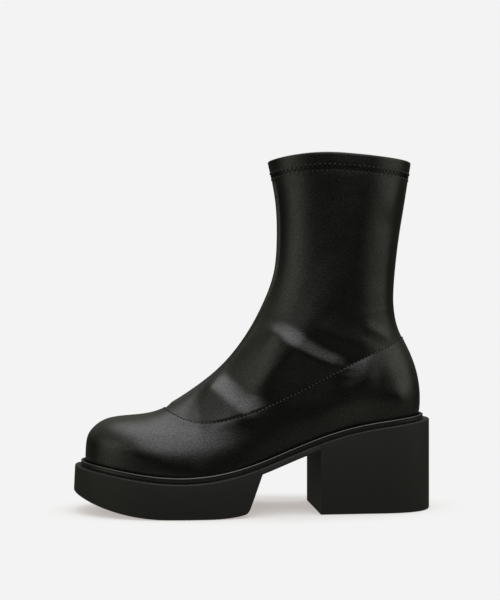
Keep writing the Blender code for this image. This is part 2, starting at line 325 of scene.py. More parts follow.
# Rings just below and above the vamp's edge, so that it turns in a few small steps
LAP_EDGE = [
    # level, share of the lap
    (0.984, 1.0),
    (0.991, 0.95),
    (0.9955, 0.8),
    (0.9985, 0.5),
    (1.0, 0.15),
]
AFTER_LAP = (1.003, 1.008)

# The shaft's front seam, which stands out as a bead between two grooves and turns to the outer side as it
# rises, the closed seam up the back, and the hem, which its zigzag draws in a little
FRONT_TURN = 5.5
FRONT_TURN_LOW = 125.0
FRONT_TURN_HIGH = 175.0
FRONT_BEAD = 1.6
FRONT_BEAD_WIDTH = 1.5
FRONT_GROOVE = 0.15
FRONT_GROOVE_PLACE = 3.0
FRONT_GROOVE_WIDTH = 0.7
FRONT_FADE = 8.0
BACK_GROOVE = 0.35
BACK_GROOVE_WIDTH = 0.7
HEM_PUFF = 0.1
HEM_GROOVE = 0.2
HEM_GROOVE_WIDTH = 2.6
HEM_STITCH_SHARE = 0.9

# Order of the upper's materials
LEATHER, LINING, CUT_EDGE = range(3)

# Widths of the patterns in the materials, and depths of their relief
PATTERN_WIDTH = {
    "dye": 30.0,
    "coat": 9.0,
    "waves": 16.0,
    "fibre": 0.6,
    "knit": 1.2,
    "twist": 0.5,
    "bloom": 22.0,
    "speck": 1.5,
    "nap": 1.0,
}
PATTERN_DEPTH = {"waves": 0.2, "grain": 0.1, "knit": 0.2, "grit": 0.15, "nap": 0.2}

# Width of one wave of the wave texture at scale 1, and how much finer than its pebbles the grain's noise is
WAVE_PERIOD = 0.314
FINE_GRAIN = 1.6

# How far the roughness of coat and rubber strays, and how much lighter the strands and the bloom are
COAT_SPREAD = 0.04
RUBBER_SPREAD = 0.06
STRAND_LIGHTER = 2.5
BLOOM_LIGHTER = 1.5

# Camera: level, a little left of the boot's middle, with the horizon just below the middle of the picture.
# Its focal length and shifts are given in pixels of the picture.
CAMERA_PLACE = (-87.6, -845.6, 138.85)
CAMERA_TURN = -5.8
CLIP_START = 10.0
PICTURE_HEIGHT = 600
FOCAL_PIXELS = 1160
RIGHT_PIXELS = 0.5
DOWN_PIXELS = 18.5

# Floor, just below the boot, and the oval round the sole within which its shadow fades out
FLOOR_HALF = 8000.0
FLOOR_LEVEL = -0.2
SHADOW_STRETCH = (1.0, 2.2, 0.0)
SHADOW_FADE = (100.0, 180.0)

# Studio light as the boot's gloss mirrors it
LIGHTS = [
    # name, colour, place, aim, width and height, shares of these that the edges fade over,
    # radiance as a share of the key light's
    ("top_softbox", "#fcfcff", (40.0, 75.0, 1300.0), (40.0, 75.0, 0.0),
     (2500.0, 2150.0), (0.42, 0.45), 1.0),
    ("front_softbox", "#fcfcff", (134.0, -985.0, 1209.0), (0.0, -30.0, 60.0),
     (2200.0, 2180.0), (0.38, 0.5), 0.97),
    ("left_panel", "#fffff0", (-1289.0, -521.0, 200.0), (0.0, 0.0, 150.0),
     (1800.0, 1900.0), (0.5, 0.45), 0.34),
    ("left_bounce", "#fffff0", (-1070.0, -700.0, 750.0), (0.0, 0.0, 100.0),
     (3400.0, 1500.0), (0.5, 0.5), 0.14),
    ("right_panel", "#fffff0", (1378.0, -524.0, 560.0), (80.0, 0.0, 150.0),
     (2000.0, 2000.0), (0.35, 0.5), 0.4),
]

# What the boot mirrors between the lights, as parts that add up
WORLD_LIGHT = [
    # axis of the direction, where the part starts and ends along it, strength at both
    ("Z", 0.05, 0.75, 0.0, 0.4),
    ("Y", -0.3, 0.6, 0.0, 0.06),
    ("Z", -0.5, -0.12, 0.37, 0.0),
]


def linear(code):
    """Linear colour of an sRGB hex code such as #24252a."""
    channels = np.array([int(code[i : i + 2], 16) for i in (1, 3, 5)]) / 255
    return np.where(channels <= 0.04045, channels / 12.92, ((channels + 0.055) / 1.055) ** 2.4).tolist()


def opaque(colour, lighter=1.0):
    """A linear colour, made lighter by a factor, with full alpha."""
    return (*(lighter * np.array(colour)), 1.0)


def spline(rows):
    """The smooth curve through rows of (place, value). It runs on straight past its ends."""
    places, values = np.array(rows, float).T
    step = np.diff(places)
    slope = np.diff(values) / step
    system = np.eye(len(places))
    load = np.zeros(len(places))
    for i in range(1, len(places) - 1):
        system[i, i - 1 : i + 2] = step[i - 1], 2 * (step[i - 1] + step[i]), step[i]
        load[i] = 6 * (slope[i] - slope[i - 1])
    bend = np.linalg.solve(system, load)
    first = slope[0] - step[0] * bend[1] / 6
    last = slope[-1] + step[-1] * bend[-2] / 6

    def at(place):
        inside = np.clip(place, places[0], places[-1])
        i = np.clip(np.searchsorted(places, inside) - 1, 0, len(step) - 1)
        before = inside - places[i]
        after = places[i + 1] - inside
        value = (bend[i] * after**3 + bend[i + 1] * before**3) / (6 * step[i])
        value = value + (values[i] / step[i] - bend[i] * step[i] / 6) * after
        value = value + (values[i + 1] / step[i] - bend[i + 1] * step[i] / 6) * before
        past = place - inside
        return value + np.where(past < 0, first, last) * past

    return at


def path(rows):
    """The smooth line through rows of points: row number in, station and height out."""
    station = spline([(i, row[0]) for i, row in enumerate(rows)])
    height = spline([(i, row[1]) for i, row in enumerate(rows)])
    return lambda place: np.stack([station(place), height(place)], axis=-1)


def ease(value):
    """Rises smoothly from 0 at 0 to 1 at 1."""
    value = np.clip(value, 0.0, 1.0)
    return value * value * (3 - 2 * value)


def rounded(share, power):
    """A round end: 0 at the tip, 1 from the full reach on."""
    return (1 - (1 - np.clip(share, 0.0, 1.0)) ** power) ** (1 / power)


ledge = spline(LEDGE_LINE)
front_line = path(FRONT_LINE)
back_line = path(BACK_LINE)
seam_drop = spline(SEAM_LINE)
shaft_width = spline(SHAFT_WIDTH)


def side_width(side, x, inset):
    """Half width of the plan at stations x, taken in by inset, without its round ends."""
    plan = PLAN[side]
    before = ease((x - plan["ball_x"]) / (plan["waist_x"] - plan["ball_x"]))
    behind = ease((x - plan["waist_x"]) / (plan["heel_x"] - plan["waist_x"]))
    to_waist = plan["ball"] + (plan["waist"] - plan["ball"]) * before
    to_heel = plan["waist"] + (plan["heel"] - plan["waist"]) * behind
    return np.where(x < plan["waist_x"], to_waist, to_heel) - inset


def reach(side, inset):
    """How far the plan's round toe and round heel reach along the boot."""
    toe_reach = PLAN[side]["ball_x"] - (TOE_X + inset)
    heel_reach = (REAR_X - inset) - PLAN[side]["heel_x"]
    return toe_reach, heel_reach


def swing(x):
    """How far the middle of the toe bends towards the inner side."""
    start = PLAN["inner"]["ball_x"]
    return TOE_SWING * np.clip((x - start) / (TOE_X - start), 0.0, 1.0) ** 2


def plan_edge(side, x, inset):
    """Sideways place of the sole's outline at stations x, taken in by inset."""
    toe_reach, heel_reach = reach(side, inset)
    width = side_width(side, x, inset)
    width = width * rounded((x - TOE_X - inset) / toe_reach, TOE_POWER)
    width = width * rounded((REAR_X - inset - x) / heel_reach, HEEL_POWER)
    return swing(x) + width * (-1 if side == "outer" else 1)


def spread(count):
    """Shares from 0 to 1 that crowd towards both ends."""
    return (1 - np.cos(np.pi * np.linspace(0.0, 1.0, count))) / 2


def ring_faces(first, second, count):
    """Faces between two closed loops of count points that start at these point numbers."""
    after = [(j + 1) % count for j in range(count)]
    return [(first + j, first + after[j], second + after[j], second + j) for j in range(count)]


def loft(rings):
    """Points and faces of closed loops that follow each other and join end to end."""
    count = len(rings[0])
    faces = []
    for i in range(len(rings)):
        faces += ring_faces(i * count, (i + 1) % len(rings) * count, count)
    return np.concatenate(rings), faces


def patch(low, high, front, back, share, along):
    """A net of points from a low to a high line that keeps to the front and back lines at its ends."""
    share = share[:, None, None]
    along = along[None, :, None]
    net = (1 - share) * low + share * high
    at_front = front[:, None] - net[:, :1]
    at_back = back[:, None] - net[:, -1:]
    return net + (1 - along) ** 2 * at_front + along**2 * at_back


def line_between(start, end, drop, along):
    """Points from start to end, lowered by drop, which is a function of the share of the way."""
    points = np.outer(1 - along, start) + np.outer(along, end)
    points[:, 1] -= drop(along)
    return points


def collar_drop(share):
    """The collar stands higher at its sides than at its ends, and most of all towards the front."""
    return -COLLAR_SIDE_RISE * np.sin(np.pi * share) - COLLAR_FRONT_RISE * np.sin(2 * np.pi * share)


def side_net(levels, along):
    """Rings of the upper seen from the side, from the sole line past the seam to the collar."""
    vamp_levels = levels[levels <= SEAM_LEVEL]
    shaft_levels = levels[levels > SEAM_LEVEL] - SEAM_LEVEL
    toe = TOE_X + UPPER_INSET
    x = toe + (REAR_X - UPPER_INSET - toe) * along
    foot = np.stack([x, ledge(x) + GAP], axis=-1)
    vamp_front = front_line(VAMP_POINT * vamp_levels)
    vamp_back = back_line(COUNTER_POINT * vamp_levels)
    vamp_front[0] = foot[0]
    vamp_back[0] = foot[-1]
    front_end = len(FRONT_LINE) - 1
    back_end = len(BACK_LINE) - 1
    shaft_front = front_line(VAMP_POINT + (front_end - VAMP_POINT) * shaft_levels)
    shaft_back = back_line(COUNTER_POINT + (back_end - COUNTER_POINT) * shaft_levels)
    seam = line_between(front_line(VAMP_POINT), back_line(COUNTER_POINT), seam_drop, along)
    collar = line_between(front_line(front_end), back_line(back_end), collar_drop, along)
    vamp = patch(foot, seam, vamp_front, vamp_back, vamp_levels, along)
    shaft = patch(seam, collar, shaft_front, shaft_back, shaft_levels, along)
    return np.concatenate([vamp, shaft])


def body_width(side, x, z):
    """Half width of the upper before it rounds off: the last's plan below, the shaft above."""
    rise = z - ledge(x)
    ball_x = PLAN[side]["ball_x"]
    heel_x = PLAN[side]["heel_x"]
    bulge = BALL_BULGE + (HEEL_BULGE - BALL_BULGE) * ease((x - ball_x) / (heel_x - ball_x))
    foot = side_width(side, x, UPPER_INSET) + bulge * ease((rise - BULGE_LIFT) / BULGE_HEIGHT)
    share = ease((rise - ANKLE_LOW) / (ANKLE_HIGH - ANKLE_LOW))
    return foot + (shaft_width(z) - foot) * share


def crown(side, x, z):
    """How the forefoot narrows towards its top line, as a share of its full width."""
    profile = front_line(np.linspace(0.0, CROWN_LAST_POINT, PROFILE_POINTS))
    top = np.interp(x, profile[:, 0], profile[:, 1])
    stations, starts, powers = np.array(CROWN_LINE[side]).T
    start = ledge(x) + np.interp(x, stations, starts)
    power = np.interp(x, stations, powers)
    share = np.clip((z - start) / np.maximum(top - start, LEAST_CROWN), 0.0, 1.0)
    narrow = (1 - share**power) ** (1 / power)
    return 1 - (1 - narrow) * ease((CROWN_END_X - x) / CROWN_FADE)


def lesser(first, second):
    """The smaller of two shares, with a soft change from one to the other."""
    shares = np.maximum([first, second], LEAST_SHARE)
    total = (shares**-CROWN_BLEND).sum(axis=0)
    return (total - 1) ** (-1 / CROWN_BLEND)


def upper_skin(levels, along):
    """Outer face of the upper's wall: closed rings from the front along the outer side and back."""
    net = side_net(levels, along)
    x = net[..., 0]
    z = net[..., 1]
    columns = np.array(ROUNDING).T
    front_reach, front_power, back_reach, back_power = [
        np.interp(levels, columns[0], column)[:, None] for column in columns[1:]
    ]
    halves = []
    for side, sign in (("outer", -1), ("inner", 1)):
        toe_reach, heel_reach = reach(side, UPPER_INSET)
        front = rounded((x - x[:, :1]) / (toe_reach * front_reach), front_power)
        back = rounded((x[:, -1:] - x) / (heel_reach * back_reach), back_power)
        width = body_width(side, x, z) * lesser(front, crown(side, x, z)) * back
        halves.append(np.stack([x, swing(x) + sign * width, z], axis=-1))
    return np.concatenate([halves[0], halves[1][:, -2:0:-1]], axis=1)


def unit(vectors):
    """Vectors brought to length 1."""
    return vectors / np.linalg.norm(vectors, axis=-1, keepdims=True)


def outward(skin):
    """Unit directions that point out of the skin at each of its points."""
    along = np.roll(skin, -1, axis=1) - np.roll(skin, 1, axis=1)
    return unit(np.cross(along, np.gradient(skin, axis=0)))


def off_middle(skin):
    """Sideways distance of the skin from the boot's bent middle, positive on the inner side."""
    return skin[..., 1] - swing(skin[..., 0])


def run_length(rings):
    """Distance of each ring's points from those of the first ring, along the rings in between."""
    steps = np.linalg.norm(np.diff(rings, axis=0), axis=-1)
    return np.concatenate([np.zeros((1,) + steps.shape[1:]), np.cumsum(steps, axis=0)])


def depth(rings):
    """Distance of each ring's points from those of the last ring, which lies highest."""
    return run_length(rings[::-1])[::-1]


def crease_line(start, bend, end):
    """Points of a curve from start to end that passes through bend half way."""
    share = np.linspace(0.0, 1.0, CREASE_STEPS)[:, None]
    start, bend, end = np.array(start), np.array(bend), np.array(end)
    handle = 2 * bend - (start + end) / 2
    return (1 - share) ** 2 * start + 2 * share * (1 - share) * handle + share**2 * end


def nearest_on_line(side_view, line):
    """Each point's signed distance from a line in a side view, positive above, and its share of the line."""
    tangent = np.gradient(line, axis=0)
    upward = np.stack([-tangent[:, 1], tangent[:, 0]], axis=-1)
    upward *= np.sign(upward[:, 1:])
    nearest = np.full(side_view.shape[:-1], np.inf)
    above = np.zeros(side_view.shape[:-1], bool)
    share = np.zeros(side_view.shape[:-1])
    for i, point in enumerate(line):
        away = side_view - point
        distance = np.hypot(away[..., 0], away[..., 1])
        closer = distance < nearest
        nearest = np.where(closer, distance, nearest)
        above = np.where(closer, away @ upward[i] > 0, above)
        share = np.where(closer, i / (len(line) - 1), share)
    return np.where(above, nearest, -nearest), share


def ridge(signed, above, below, crest):
    """Profile of a ridge with flanks of these widths: 1 on its rounded crest, 0 at the flanks' ends."""
    from_crest = np.sqrt(signed**2 + crest**2) - crest
    width = np.where(signed > 0, above, below)
    return np.clip(1 - from_crest / width, 0.0, 1.0) ** CREASE_POWER


def crease_relief(skin, above_seam, inner):
    """How far the leather's creases stand out of the skin, as shares of the full crease height."""
    relief = np.zeros(skin.shape[:-1])
    for crease in CREASES.values():
        signed, share = nearest_on_line(skin[..., [0, 2]], crease_line(*crease["line"]))
        ends = [crease[size] for size in ("height", "above", "below")]
        height, above, below = [start + (end - start) * share for start, end in ends]
        start_taper, end_taper = crease["taper"]
        taper = ease(share / start_taper) * ease((1 - share) / end_taper)
        carry = crease["carry"]
        taper *= (1 - carry) * ease(above_seam / SEAM_FADE) + carry * ease(1 + above_seam / SEAM_CARRY)
        height = height * np.where(inner, crease["inner"], 1.0)
        relief += height * taper * ridge(signed, above, below, crease["crest"])
    return relief


def quarter_relief(skin, above_seam):
    """How far the quarter swells out under the seam, in millimetres."""
    x = skin[..., 0]
    start, full, fading, back, ending, end = QUARTER_STATIONS
    height = ease((x - start) / (full - start)) * ease((end - x) / (end - ending))
    height *= 1 - (1 - QUARTER_BACK) * ease((x - fading) / (back - fading))
    below = np.clip(-above_seam, 0.0, None)
    rise = 1 - np.clip(1 - below / QUARTER_RISE, 0.0, 1.0) ** CREASE_POWER
    return QUARTER_SWELL * height * rise * (1 - ease((below - QUARTER_RISE) / QUARTER_FALL))


def bell(distance, width):
    """A soft bump: 1 at distance 0, near 0 from twice the width on."""
    return np.exp(-((distance / width) ** 2))


def centre_relief(skin, above_seam, below_rim, hem):
    """How far the seams up the front and the back stand out of the skin, in millimetres."""
    away = off_middle(skin)
    middle = (skin[:, :1, 0] + skin[:, skin.shape[1] // 2, None, 0]) / 2
    turn = FRONT_TURN * ease((skin[..., 2] - FRONT_TURN_LOW) / (FRONT_TURN_HIGH - FRONT_TURN_LOW))
    from_bead = np.abs(away + turn)
    front = FRONT_BEAD * bell(from_bead, FRONT_BEAD_WIDTH)
    front -= FRONT_GROOVE * bell(from_bead - FRONT_GROOVE_PLACE, FRONT_GROOVE_WIDTH)
    front *= ease(above_seam / FRONT_FADE) * ease((below_rim - hem) / FRONT_FADE)
    return np.where(skin[..., 0] < middle, front, -BACK_GROOVE * bell(away, BACK_GROOVE_WIDTH))


def swell_relief(skin):
    """How far the soft swells of shaft and counter stand out of the skin, in millimetres."""
    relief = np.zeros(skin.shape[:-1])
    for station, height, reach_along, reach_up, rise in SWELLS.values():
        along = (skin[..., 0] - station) / reach_along
        up = (skin[..., 2] - height) / reach_up
        relief += rise * np.exp(-(along**2) - up**2)
    return relief


def fill_inputs(tree, node, inputs):
    """Sets or links a node's inputs by name or number. A node stands for its first output in use."""
    for name, value in inputs.items():
        if isinstance(value, bpy.types.Node):
            value = next(socket for socket in value.outputs if socket.enabled)
        if isinstance(value, bpy.types.NodeSocket):
            tree.links.new(value, node.inputs[name])
        else:
            node.inputs[name].default_value = value


def add_node(tree, kind, inputs=None, **settings):
    """Adds a node to a tree, sets its properties and fills its inputs."""
    node = tree.nodes.new(kind)
    for name, value in settings.items():
        setattr(node, name, value)
    fill_inputs(tree, node, inputs or {})
    return node


def new_material(name):
    """An empty material with its tree, its shader and the place on the boot that patterns read."""
    material = bpy.data.materials.new(name)
    material.use_nodes = True
    tree = material.node_tree
    place = add_node(tree, "ShaderNodeTexCoord").outputs["Object"]
    return material, tree, tree.nodes["Principled BSDF"], place


def repeats(pattern):
    """How often a pattern repeats along a metre."""
    return 1 / (PATTERN_WIDTH[pattern] * MM)


def add_piece(name, points, faces, materials, face_materials=None):
    """Makes one smooth object of the boot from points in millimetres."""
    mesh = bpy.data.meshes.new(name)
    mesh.from_pydata((np.asarray(points) * MM).tolist(), [], [list(face) for face in faces])
    for material in materials:
        mesh.materials.append(material)
    if face_materials is not None:
        mesh.polygons.foreach_set("material_index", np.asarray(face_materials, np.int32))
    work = bmesh.new()
    work.from_mesh(mesh)
    bmesh.ops.remove_doubles(work, verts=work.verts, dist=MERGE_DISTANCE * MM)
    bmesh.ops.recalc_face_normals(work, faces=work.faces)
    work.to_mesh(mesh)
    work.free()
    mesh.shade_smooth()
    mesh.set_sharp_from_angle(angle=np.radians(SHARP_ANGLE))
    piece = bpy.data.objects.new(name, mesh)
    bpy.context.scene.collection.objects.link(piece)
    return piece


def dress(piece, node):
    """Lets a piece stand for a solid of the frame, whose mesh it hides, and ride on the boot's one body."""
    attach(piece, "root")
    if node:
        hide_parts(node)


def stretch_leather(settings):
    """Stretch leather with a thin satin top coat: nearly black, with soft highlights and a fine grain."""
    material, tree, shader, place = new_material("satin_stretch_leather")
    # Dye takes a little unevenly over a few centimetres, which keeps the black from looking painted
    cloud = add_node(tree, "ShaderNodeTexNoise", {"Vector": place, "Scale": repeats("dye"), "Detail": 3.0})
    tint = add_node(
        tree, "ShaderNodeMix",
        {"Factor": cloud, "A": opaque(settings.colour), "B": opaque(settings.worn_colour)}, data_type="RGBA",
    )
    # The coat is a little duller in some places than in others
    dull = add_node(tree, "ShaderNodeTexNoise", {"Vector": place, "Scale": repeats("coat"), "Detail": 4.0})
    gloss = add_node(
        tree, "ShaderNodeMapRange",
        {
            "Value": dull,
            "To Min": settings.roughness - COAT_SPREAD,
            "To Max": settings.roughness + COAT_SPREAD,
        },
    )
    # Stretch leather never lies quite flat: soft waves about as wide as a finger
    wave = add_node(tree, "ShaderNodeTexNoise", {"Vector": place, "Scale": repeats("waves"), "Detail": 1.0})
    waves = add_node(
        tree, "ShaderNodeBump", {"Height": wave, "Strength": 1.0, "Distance": PATTERN_DEPTH["waves"] * MM}
    )
    # Grain of flat pebbles, drawn at about three times its real width so that it shows
    pebbles = 1 / settings.grain_width
    pebble = add_node(
        tree, "ShaderNodeTexVoronoi", {"Vector": place, "Scale": pebbles}, feature="SMOOTH_F1"
    )
    fine = add_node(tree, "ShaderNodeTexNoise", {"Vector": place, "Scale": FINE_GRAIN * pebbles})
    grain = add_node(tree, "ShaderNodeMath", {0: pebble, 1: fine})
    bump = add_node(
        tree, "ShaderNodeBump",
        {
            "Height": grain, "Strength": settings.grain_strength, "Distance": PATTERN_DEPTH["grain"] * MM,
            "Normal": waves,
        },
    )
    # The pits of the grain hold back some of the gloss, so that it sparkles a little
    pits = add_node(tree, "ShaderNodeTexNoise", {"Vector": place, "Scale": pebbles, "Detail": 2.0})
    sparkle = add_node(
        tree, "ShaderNodeMapRange",
        {"Value": pits, "From Min": 0.3, "From Max": 0.7, "To Min": 0.54, "To Max": 1.0},
    )
    fill_inputs(
        tree, shader,
        {"Base Color": tint, "Roughness": gloss, "Specular Tint": sparkle, "Normal": bump, "IOR": 1.58},
    )
    return material


def cut_edge_and_hole_shade():
    """Raw cut edge of the vamp: matt black fibre that draws a thin dark line along the seam. It is also the
    painted shade of the beads at the seam's needle holes.
    """
    material, tree, shader, place = new_material("raw_leather_edge_and_hole_shade")
    fibre = add_node(tree, "ShaderNodeTexNoise", {"Vector": place, "Scale": repeats("fibre"), "Detail": 3.0})
    shade = add_node(
        tree, "ShaderNodeMix",
        {"Factor": fibre, "A": opaque(linear("#040404")), "B": opaque(linear("#0c0c0b"))}, data_type="RGBA",
    )
    fill_inputs(tree, shader, {"Base Color": shade, "Roughness": 0.95, "Specular IOR Level": 0.1})
    return material


def jersey_lining(settings):
    """Knitted polyester lining: matt black with fine rows of loops along the wall."""
    material, tree, shader, place = new_material("knitted_polyester_lining")
    # Rows of loops, drawn at about twice their real spacing so that they show
    rows, ribs = [
        add_node(
            tree, "ShaderNodeTexWave",
            {"Vector": place, "Scale": WAVE_PERIOD * repeats("knit"), "Distortion": 1.5},
            bands_direction=axis,
        ).outputs["Fac"]
        for axis in "ZX"
    ]
    knit = add_node(tree, "ShaderNodeMath", {0: rows, 1: ribs})
    bump = add_node(
        tree, "ShaderNodeBump", {"Height": knit, "Strength": 0.35, "Distance": PATTERN_DEPTH["knit"] * MM}
    )
    shade = add_node(
        tree, "ShaderNodeMix",
        {"Factor": rows, "A": opaque(settings.lining_colour), "B": opaque(linear("#262624"))},
        data_type="RGBA",
    )
    fill_inputs(tree, shader, {"Base Color": shade, "Normal": bump, "Roughness": 0.85, "Sheen Weight": 0.15})
    return material


def sewing_thread(name, colour, roughness, specular):
    """Bonded thread: black, matt where it was waxed little and satin where it was waxed well."""
    material, tree, shader, place = new_material(name)
    twist = add_node(tree, "ShaderNodeTexNoise", {"Vector": place, "Scale": repeats("twist"), "Detail": 2.0})
    shade = add_node(
        tree, "ShaderNodeMix",
        {"Factor": twist, "A": opaque(colour), "B": opaque(colour, STRAND_LIGHTER)}, data_type="RGBA",
    )
    fill_inputs(tree, shader, {"Base Color": shade, "Roughness": roughness, "Specular IOR Level": specular})
    return material


def moulded_rubber(name, colour, roughness, grit, specular):
    """Moulded rubber: charcoal black, matt, with the fine grit of the mould in its skin."""
    material, tree, shader, place = new_material(name)
    # Bloom on the rubber's skin lightens it in soft clouds
    cloud = add_node(tree, "ShaderNodeTexNoise", {"Vector": place, "Scale": repeats("bloom"), "Detail": 4.0})
    speck = add_node(tree, "ShaderNodeTexNoise", {"Vector": place, "Scale": repeats("speck"), "Detail": 2.0})
    mottle = add_node(tree, "ShaderNodeMath", {0: cloud, 1: speck}, operation="MULTIPLY")
    shade = add_node(
        tree, "ShaderNodeMix",
        {"Factor": mottle, "A": opaque(colour), "B": opaque(colour, BLOOM_LIGHTER)}, data_type="RGBA",
    )
    # Grit of the mould, drawn at about twice its real width so that it shows
    grains = add_node(tree, "ShaderNodeTexNoise", {"Vector": place, "Scale": 1 / grit, "Detail": 3.0})
    bump = add_node(
        tree, "ShaderNodeBump", {"Height": grains, "Strength": 0.25, "Distance": PATTERN_DEPTH["grit"] * MM}
    )
    gloss = add_node(
        tree, "ShaderNodeMapRange",
        {"Value": cloud, "To Min": roughness - RUBBER_SPREAD, "To Max": roughness + RUBBER_SPREAD},
    )
    fill_inputs(
        tree, shader,
        {
            "Base Color": shade, "Roughness": gloss, "Normal": bump, "IOR": 1.5,
            "Specular IOR Level": specular,
        },
    )
    return material


def sock_cloth(settings):
    """Brushed polyester sock on the footbed: matt black with a short nap."""
    material, tree, shader, place = new_material("brushed_polyester_sock")
    nap = add_node(tree, "ShaderNodeTexNoise", {"Vector": place, "Scale": repeats("nap"), "Detail": 5.0})
    shade = add_node(
        tree, "ShaderNodeMix",
        {"Factor": nap, "A": opaque(settings.sock_colour), "B": opaque(linear("#34332f"))}, data_type="RGBA",
    )
    bump = add_node(
        tree, "ShaderNodeBump", {"Height": nap, "Strength": 0.3, "Distance": PATTERN_DEPTH["nap"] * MM}
    )
    fill_inputs(tree, shader, {"Base Color": shade, "Normal": bump, "Roughness": 0.9, "Sheen Weight": 0.2})
    return material


def length_property(name, description, millimetres):
    """A property that holds a length."""
    return FloatProperty(name=name, description=description, default=millimetres * MM, unit="LENGTH")


def colour_property(name, description, code):
    """A property that holds a colour, given as an sRGB hex code."""
    return FloatVectorProperty(name=name, description=description, default=linear(code), subtype="COLOR")


class BootLeatherSettings(bpy.types.PropertyGroup):
    """Colours and sizes of the upper."""

    colour: colour_property("Leather", "Colour of the leather", "#030302")
    worn_colour: colour_property("Pale leather", "Colour of the leather where the dye took least", "#060605")
    lining_colour: colour_property("Lining", "Colour of the knitted lining", "#151514")
    sock_colour: colour_property("Sock", "Colour of the sock on the footbed", "#1d1c1a")
    roughness: FloatProperty(
        name="Roughness", description="Roughness of the leather's coat", default=0.31, min=0.05, max=1.0
    )
    grain_width: length_property("Grain width", "Width of a pebble of the grain", 1.05)
    grain_strength: FloatProperty(
        name="Grain strength", description="How strongly the grain shows", default=0.45, min=0.0, max=1.0
    )
    crease_height: length_property("Crease height", "How far a crease with a share of 1 stands out", 4.2)
    lap: length_property("Lap", "How far the vamp stands out over the shaft at their seam", 0.45)
    hem_depth: length_property("Hem depth", "Distance from the rim to the middle of the zigzag", 11.0)


class BootStitchSettings(bpy.types.PropertyGroup):
    """Colours and sizes of the sewing."""

    thread_colour: colour_property("Thread", "Colour of the thread in the seam of the vamp", "#161615")
    thread: length_property("Seam thread", "Thickness of the thread in the seam of the vamp", 0.95)
    # The needle holes are small beads with painted shade, as dark as the insides of the holes
    needle_hole_shade: length_property("Needle hole", "Width of the dark pits between the seam's stitches", 0.95)
    stitch_share: FloatProperty(
        name="Stitch share", description="Length of a straight stitch as a share of the pitch", default=0.66,
        subtype="FACTOR", min=0.1, max=1.0,
    )
    seam_pitch: length_property("Seam pitch", "Length of a stitch in the seam of the vamp", 2.85)
    seam_margin: length_property("Seam margin", "Distance from the vamp's edge to its stitches", 0.45)
    hem_pitch: length_property("Hem pitch", "Distance between the turns of the hem's zigzag", 1.75)
    hem_height: length_property("Hem stitch height", "Height of the zigzag", 4.6)
    # The hem thread's near black is partly its own colour and partly painted shade where the zigzag sinks
    # into the leather
    hem_thread_and_shade_colour: colour_property("Hem thread colour", "Colour of the thread in the hem", "#030303")
    hem_thread: length_property("Hem thread", "Thickness of the thread in the hem", 0.6)
    hem_pucker: length_property("Hem pucker", "Width of the beads of leather at the zigzag's turns", 1.45)


class BootSoleSettings(bpy.types.PropertyGroup):
    """Colours and finish of the sole, the heel and the welt."""

    rubber_colour: colour_property("Rubber", "Colour of sole and heel", "#11110f")
    welt_colour: colour_property("Welt", "Colour of the welt", "#141412")
    rubber_roughness: FloatProperty(
        name="Rubber roughness", description="Roughness of sole and heel", default=0.6, min=0.05, max=1.0
    )
    welt_roughness: FloatProperty(
        name="Welt roughness", description="Roughness of the welt", default=0.33, min=0.05, max=1.0
    )
    grit: length_property("Grit", "Width of the mould's grit in the rubber", 0.8)


class BootStageSettings(bpy.types.PropertyGroup):
    """Floor and light."""

    paper_colour: colour_property("Paper", "Colour of floor and backdrop", "#f3f3f3")
    shadow_colour: colour_property("Shadow", "Colour of the floor in the deepest shadow", "#b2aca8")
    paper_light: FloatProperty(
        name="Paper light", description="Light that falls on the open floor", default=1.17, min=0.1
    )
    key_radiance: FloatProperty(
        name="Key light", description="Radiance of the softbox over the boot", default=2.6, min=0.0
    )


class BOOT_OT_upper(bpy.types.Operator):
    """Builds the hollow leather upper with its lapped seam, creases, centre seams, hem and lining"""

    bl_idname = "boot.upper"
    bl_label = "Upper"

    def execute(self, context):
        settings = context.scene.boot_leather
        points, faces, kinds = upper_shell(settings)
        materials = [stretch_leather(settings), jersey_lining(settings), cut_edge_and_hole_shade()]
        piece = add_piece("leather_upper", points, faces, materials, kinds)
        dress(piece, "upper")
        return {"FINISHED"}


def upper_levels():
    """Ring levels of the upper from the sole to the collar, close together where the vamp ends."""
    vamp = np.linspace(0.0, LAP_EDGE[0][0], VAMP_BANDS)[:-1]
    shaft = np.linspace(AFTER_LAP[-1], COLLAR_LEVEL, SHAFT_BANDS)[1:]
    return np.concatenate([vamp, [row[0] for row in LAP_EDGE], AFTER_LAP, shaft])


def plain_skin():
    """The upper's smooth outer face in rings, and the levels of the rings."""
    levels = upper_levels()
    return upper_skin(levels, spread(UPPER_STATIONS)), levels


def dressed_skin(settings, skin, levels):
    """The smooth outer face with the leather's creases and swells, the lap, the centre seams and the hem."""
    inner = np.arange(skin.shape[1]) >= UPPER_STATIONS
    clear = ease((np.abs(off_middle(skin)) - CREASE_CLEAR) / CREASE_EASE)
    climb = run_length(skin)
    above_seam = climb - climb[list(levels).index(SEAM_LEVEL)]
    relief = crease_relief(skin, above_seam, inner) * settings.crease_height / MM * clear
    relief += (swell_relief(skin) + quarter_relief(skin, above_seam)) * clear
    lap_levels, lap_shares = np.array(LAP_EDGE).T
    lap = np.interp(levels, lap_levels, lap_shares, left=1.0, right=0.0) * ease(levels / LAP_FADE)
    relief += (lap * settings.lap / MM)[:, None]
    rise = skin[..., 2] - ledge(skin[..., 0])
    relief -= TUCK * (1 - ease((rise - TUCK_LOW) / TUCK_HEIGHT))
    below_rim = depth(skin)
    hem = settings.hem_depth / MM
    relief += centre_relief(skin, above_seam, below_rim, hem)
    relief += HEM_PUFF * ease((hem - below_rim) / HEM_GROOVE_WIDTH)
    relief -= HEM_GROOVE * bell(below_rim - hem, HEM_GROOVE_WIDTH)
    return skin + relief[..., None] * outward(skin)


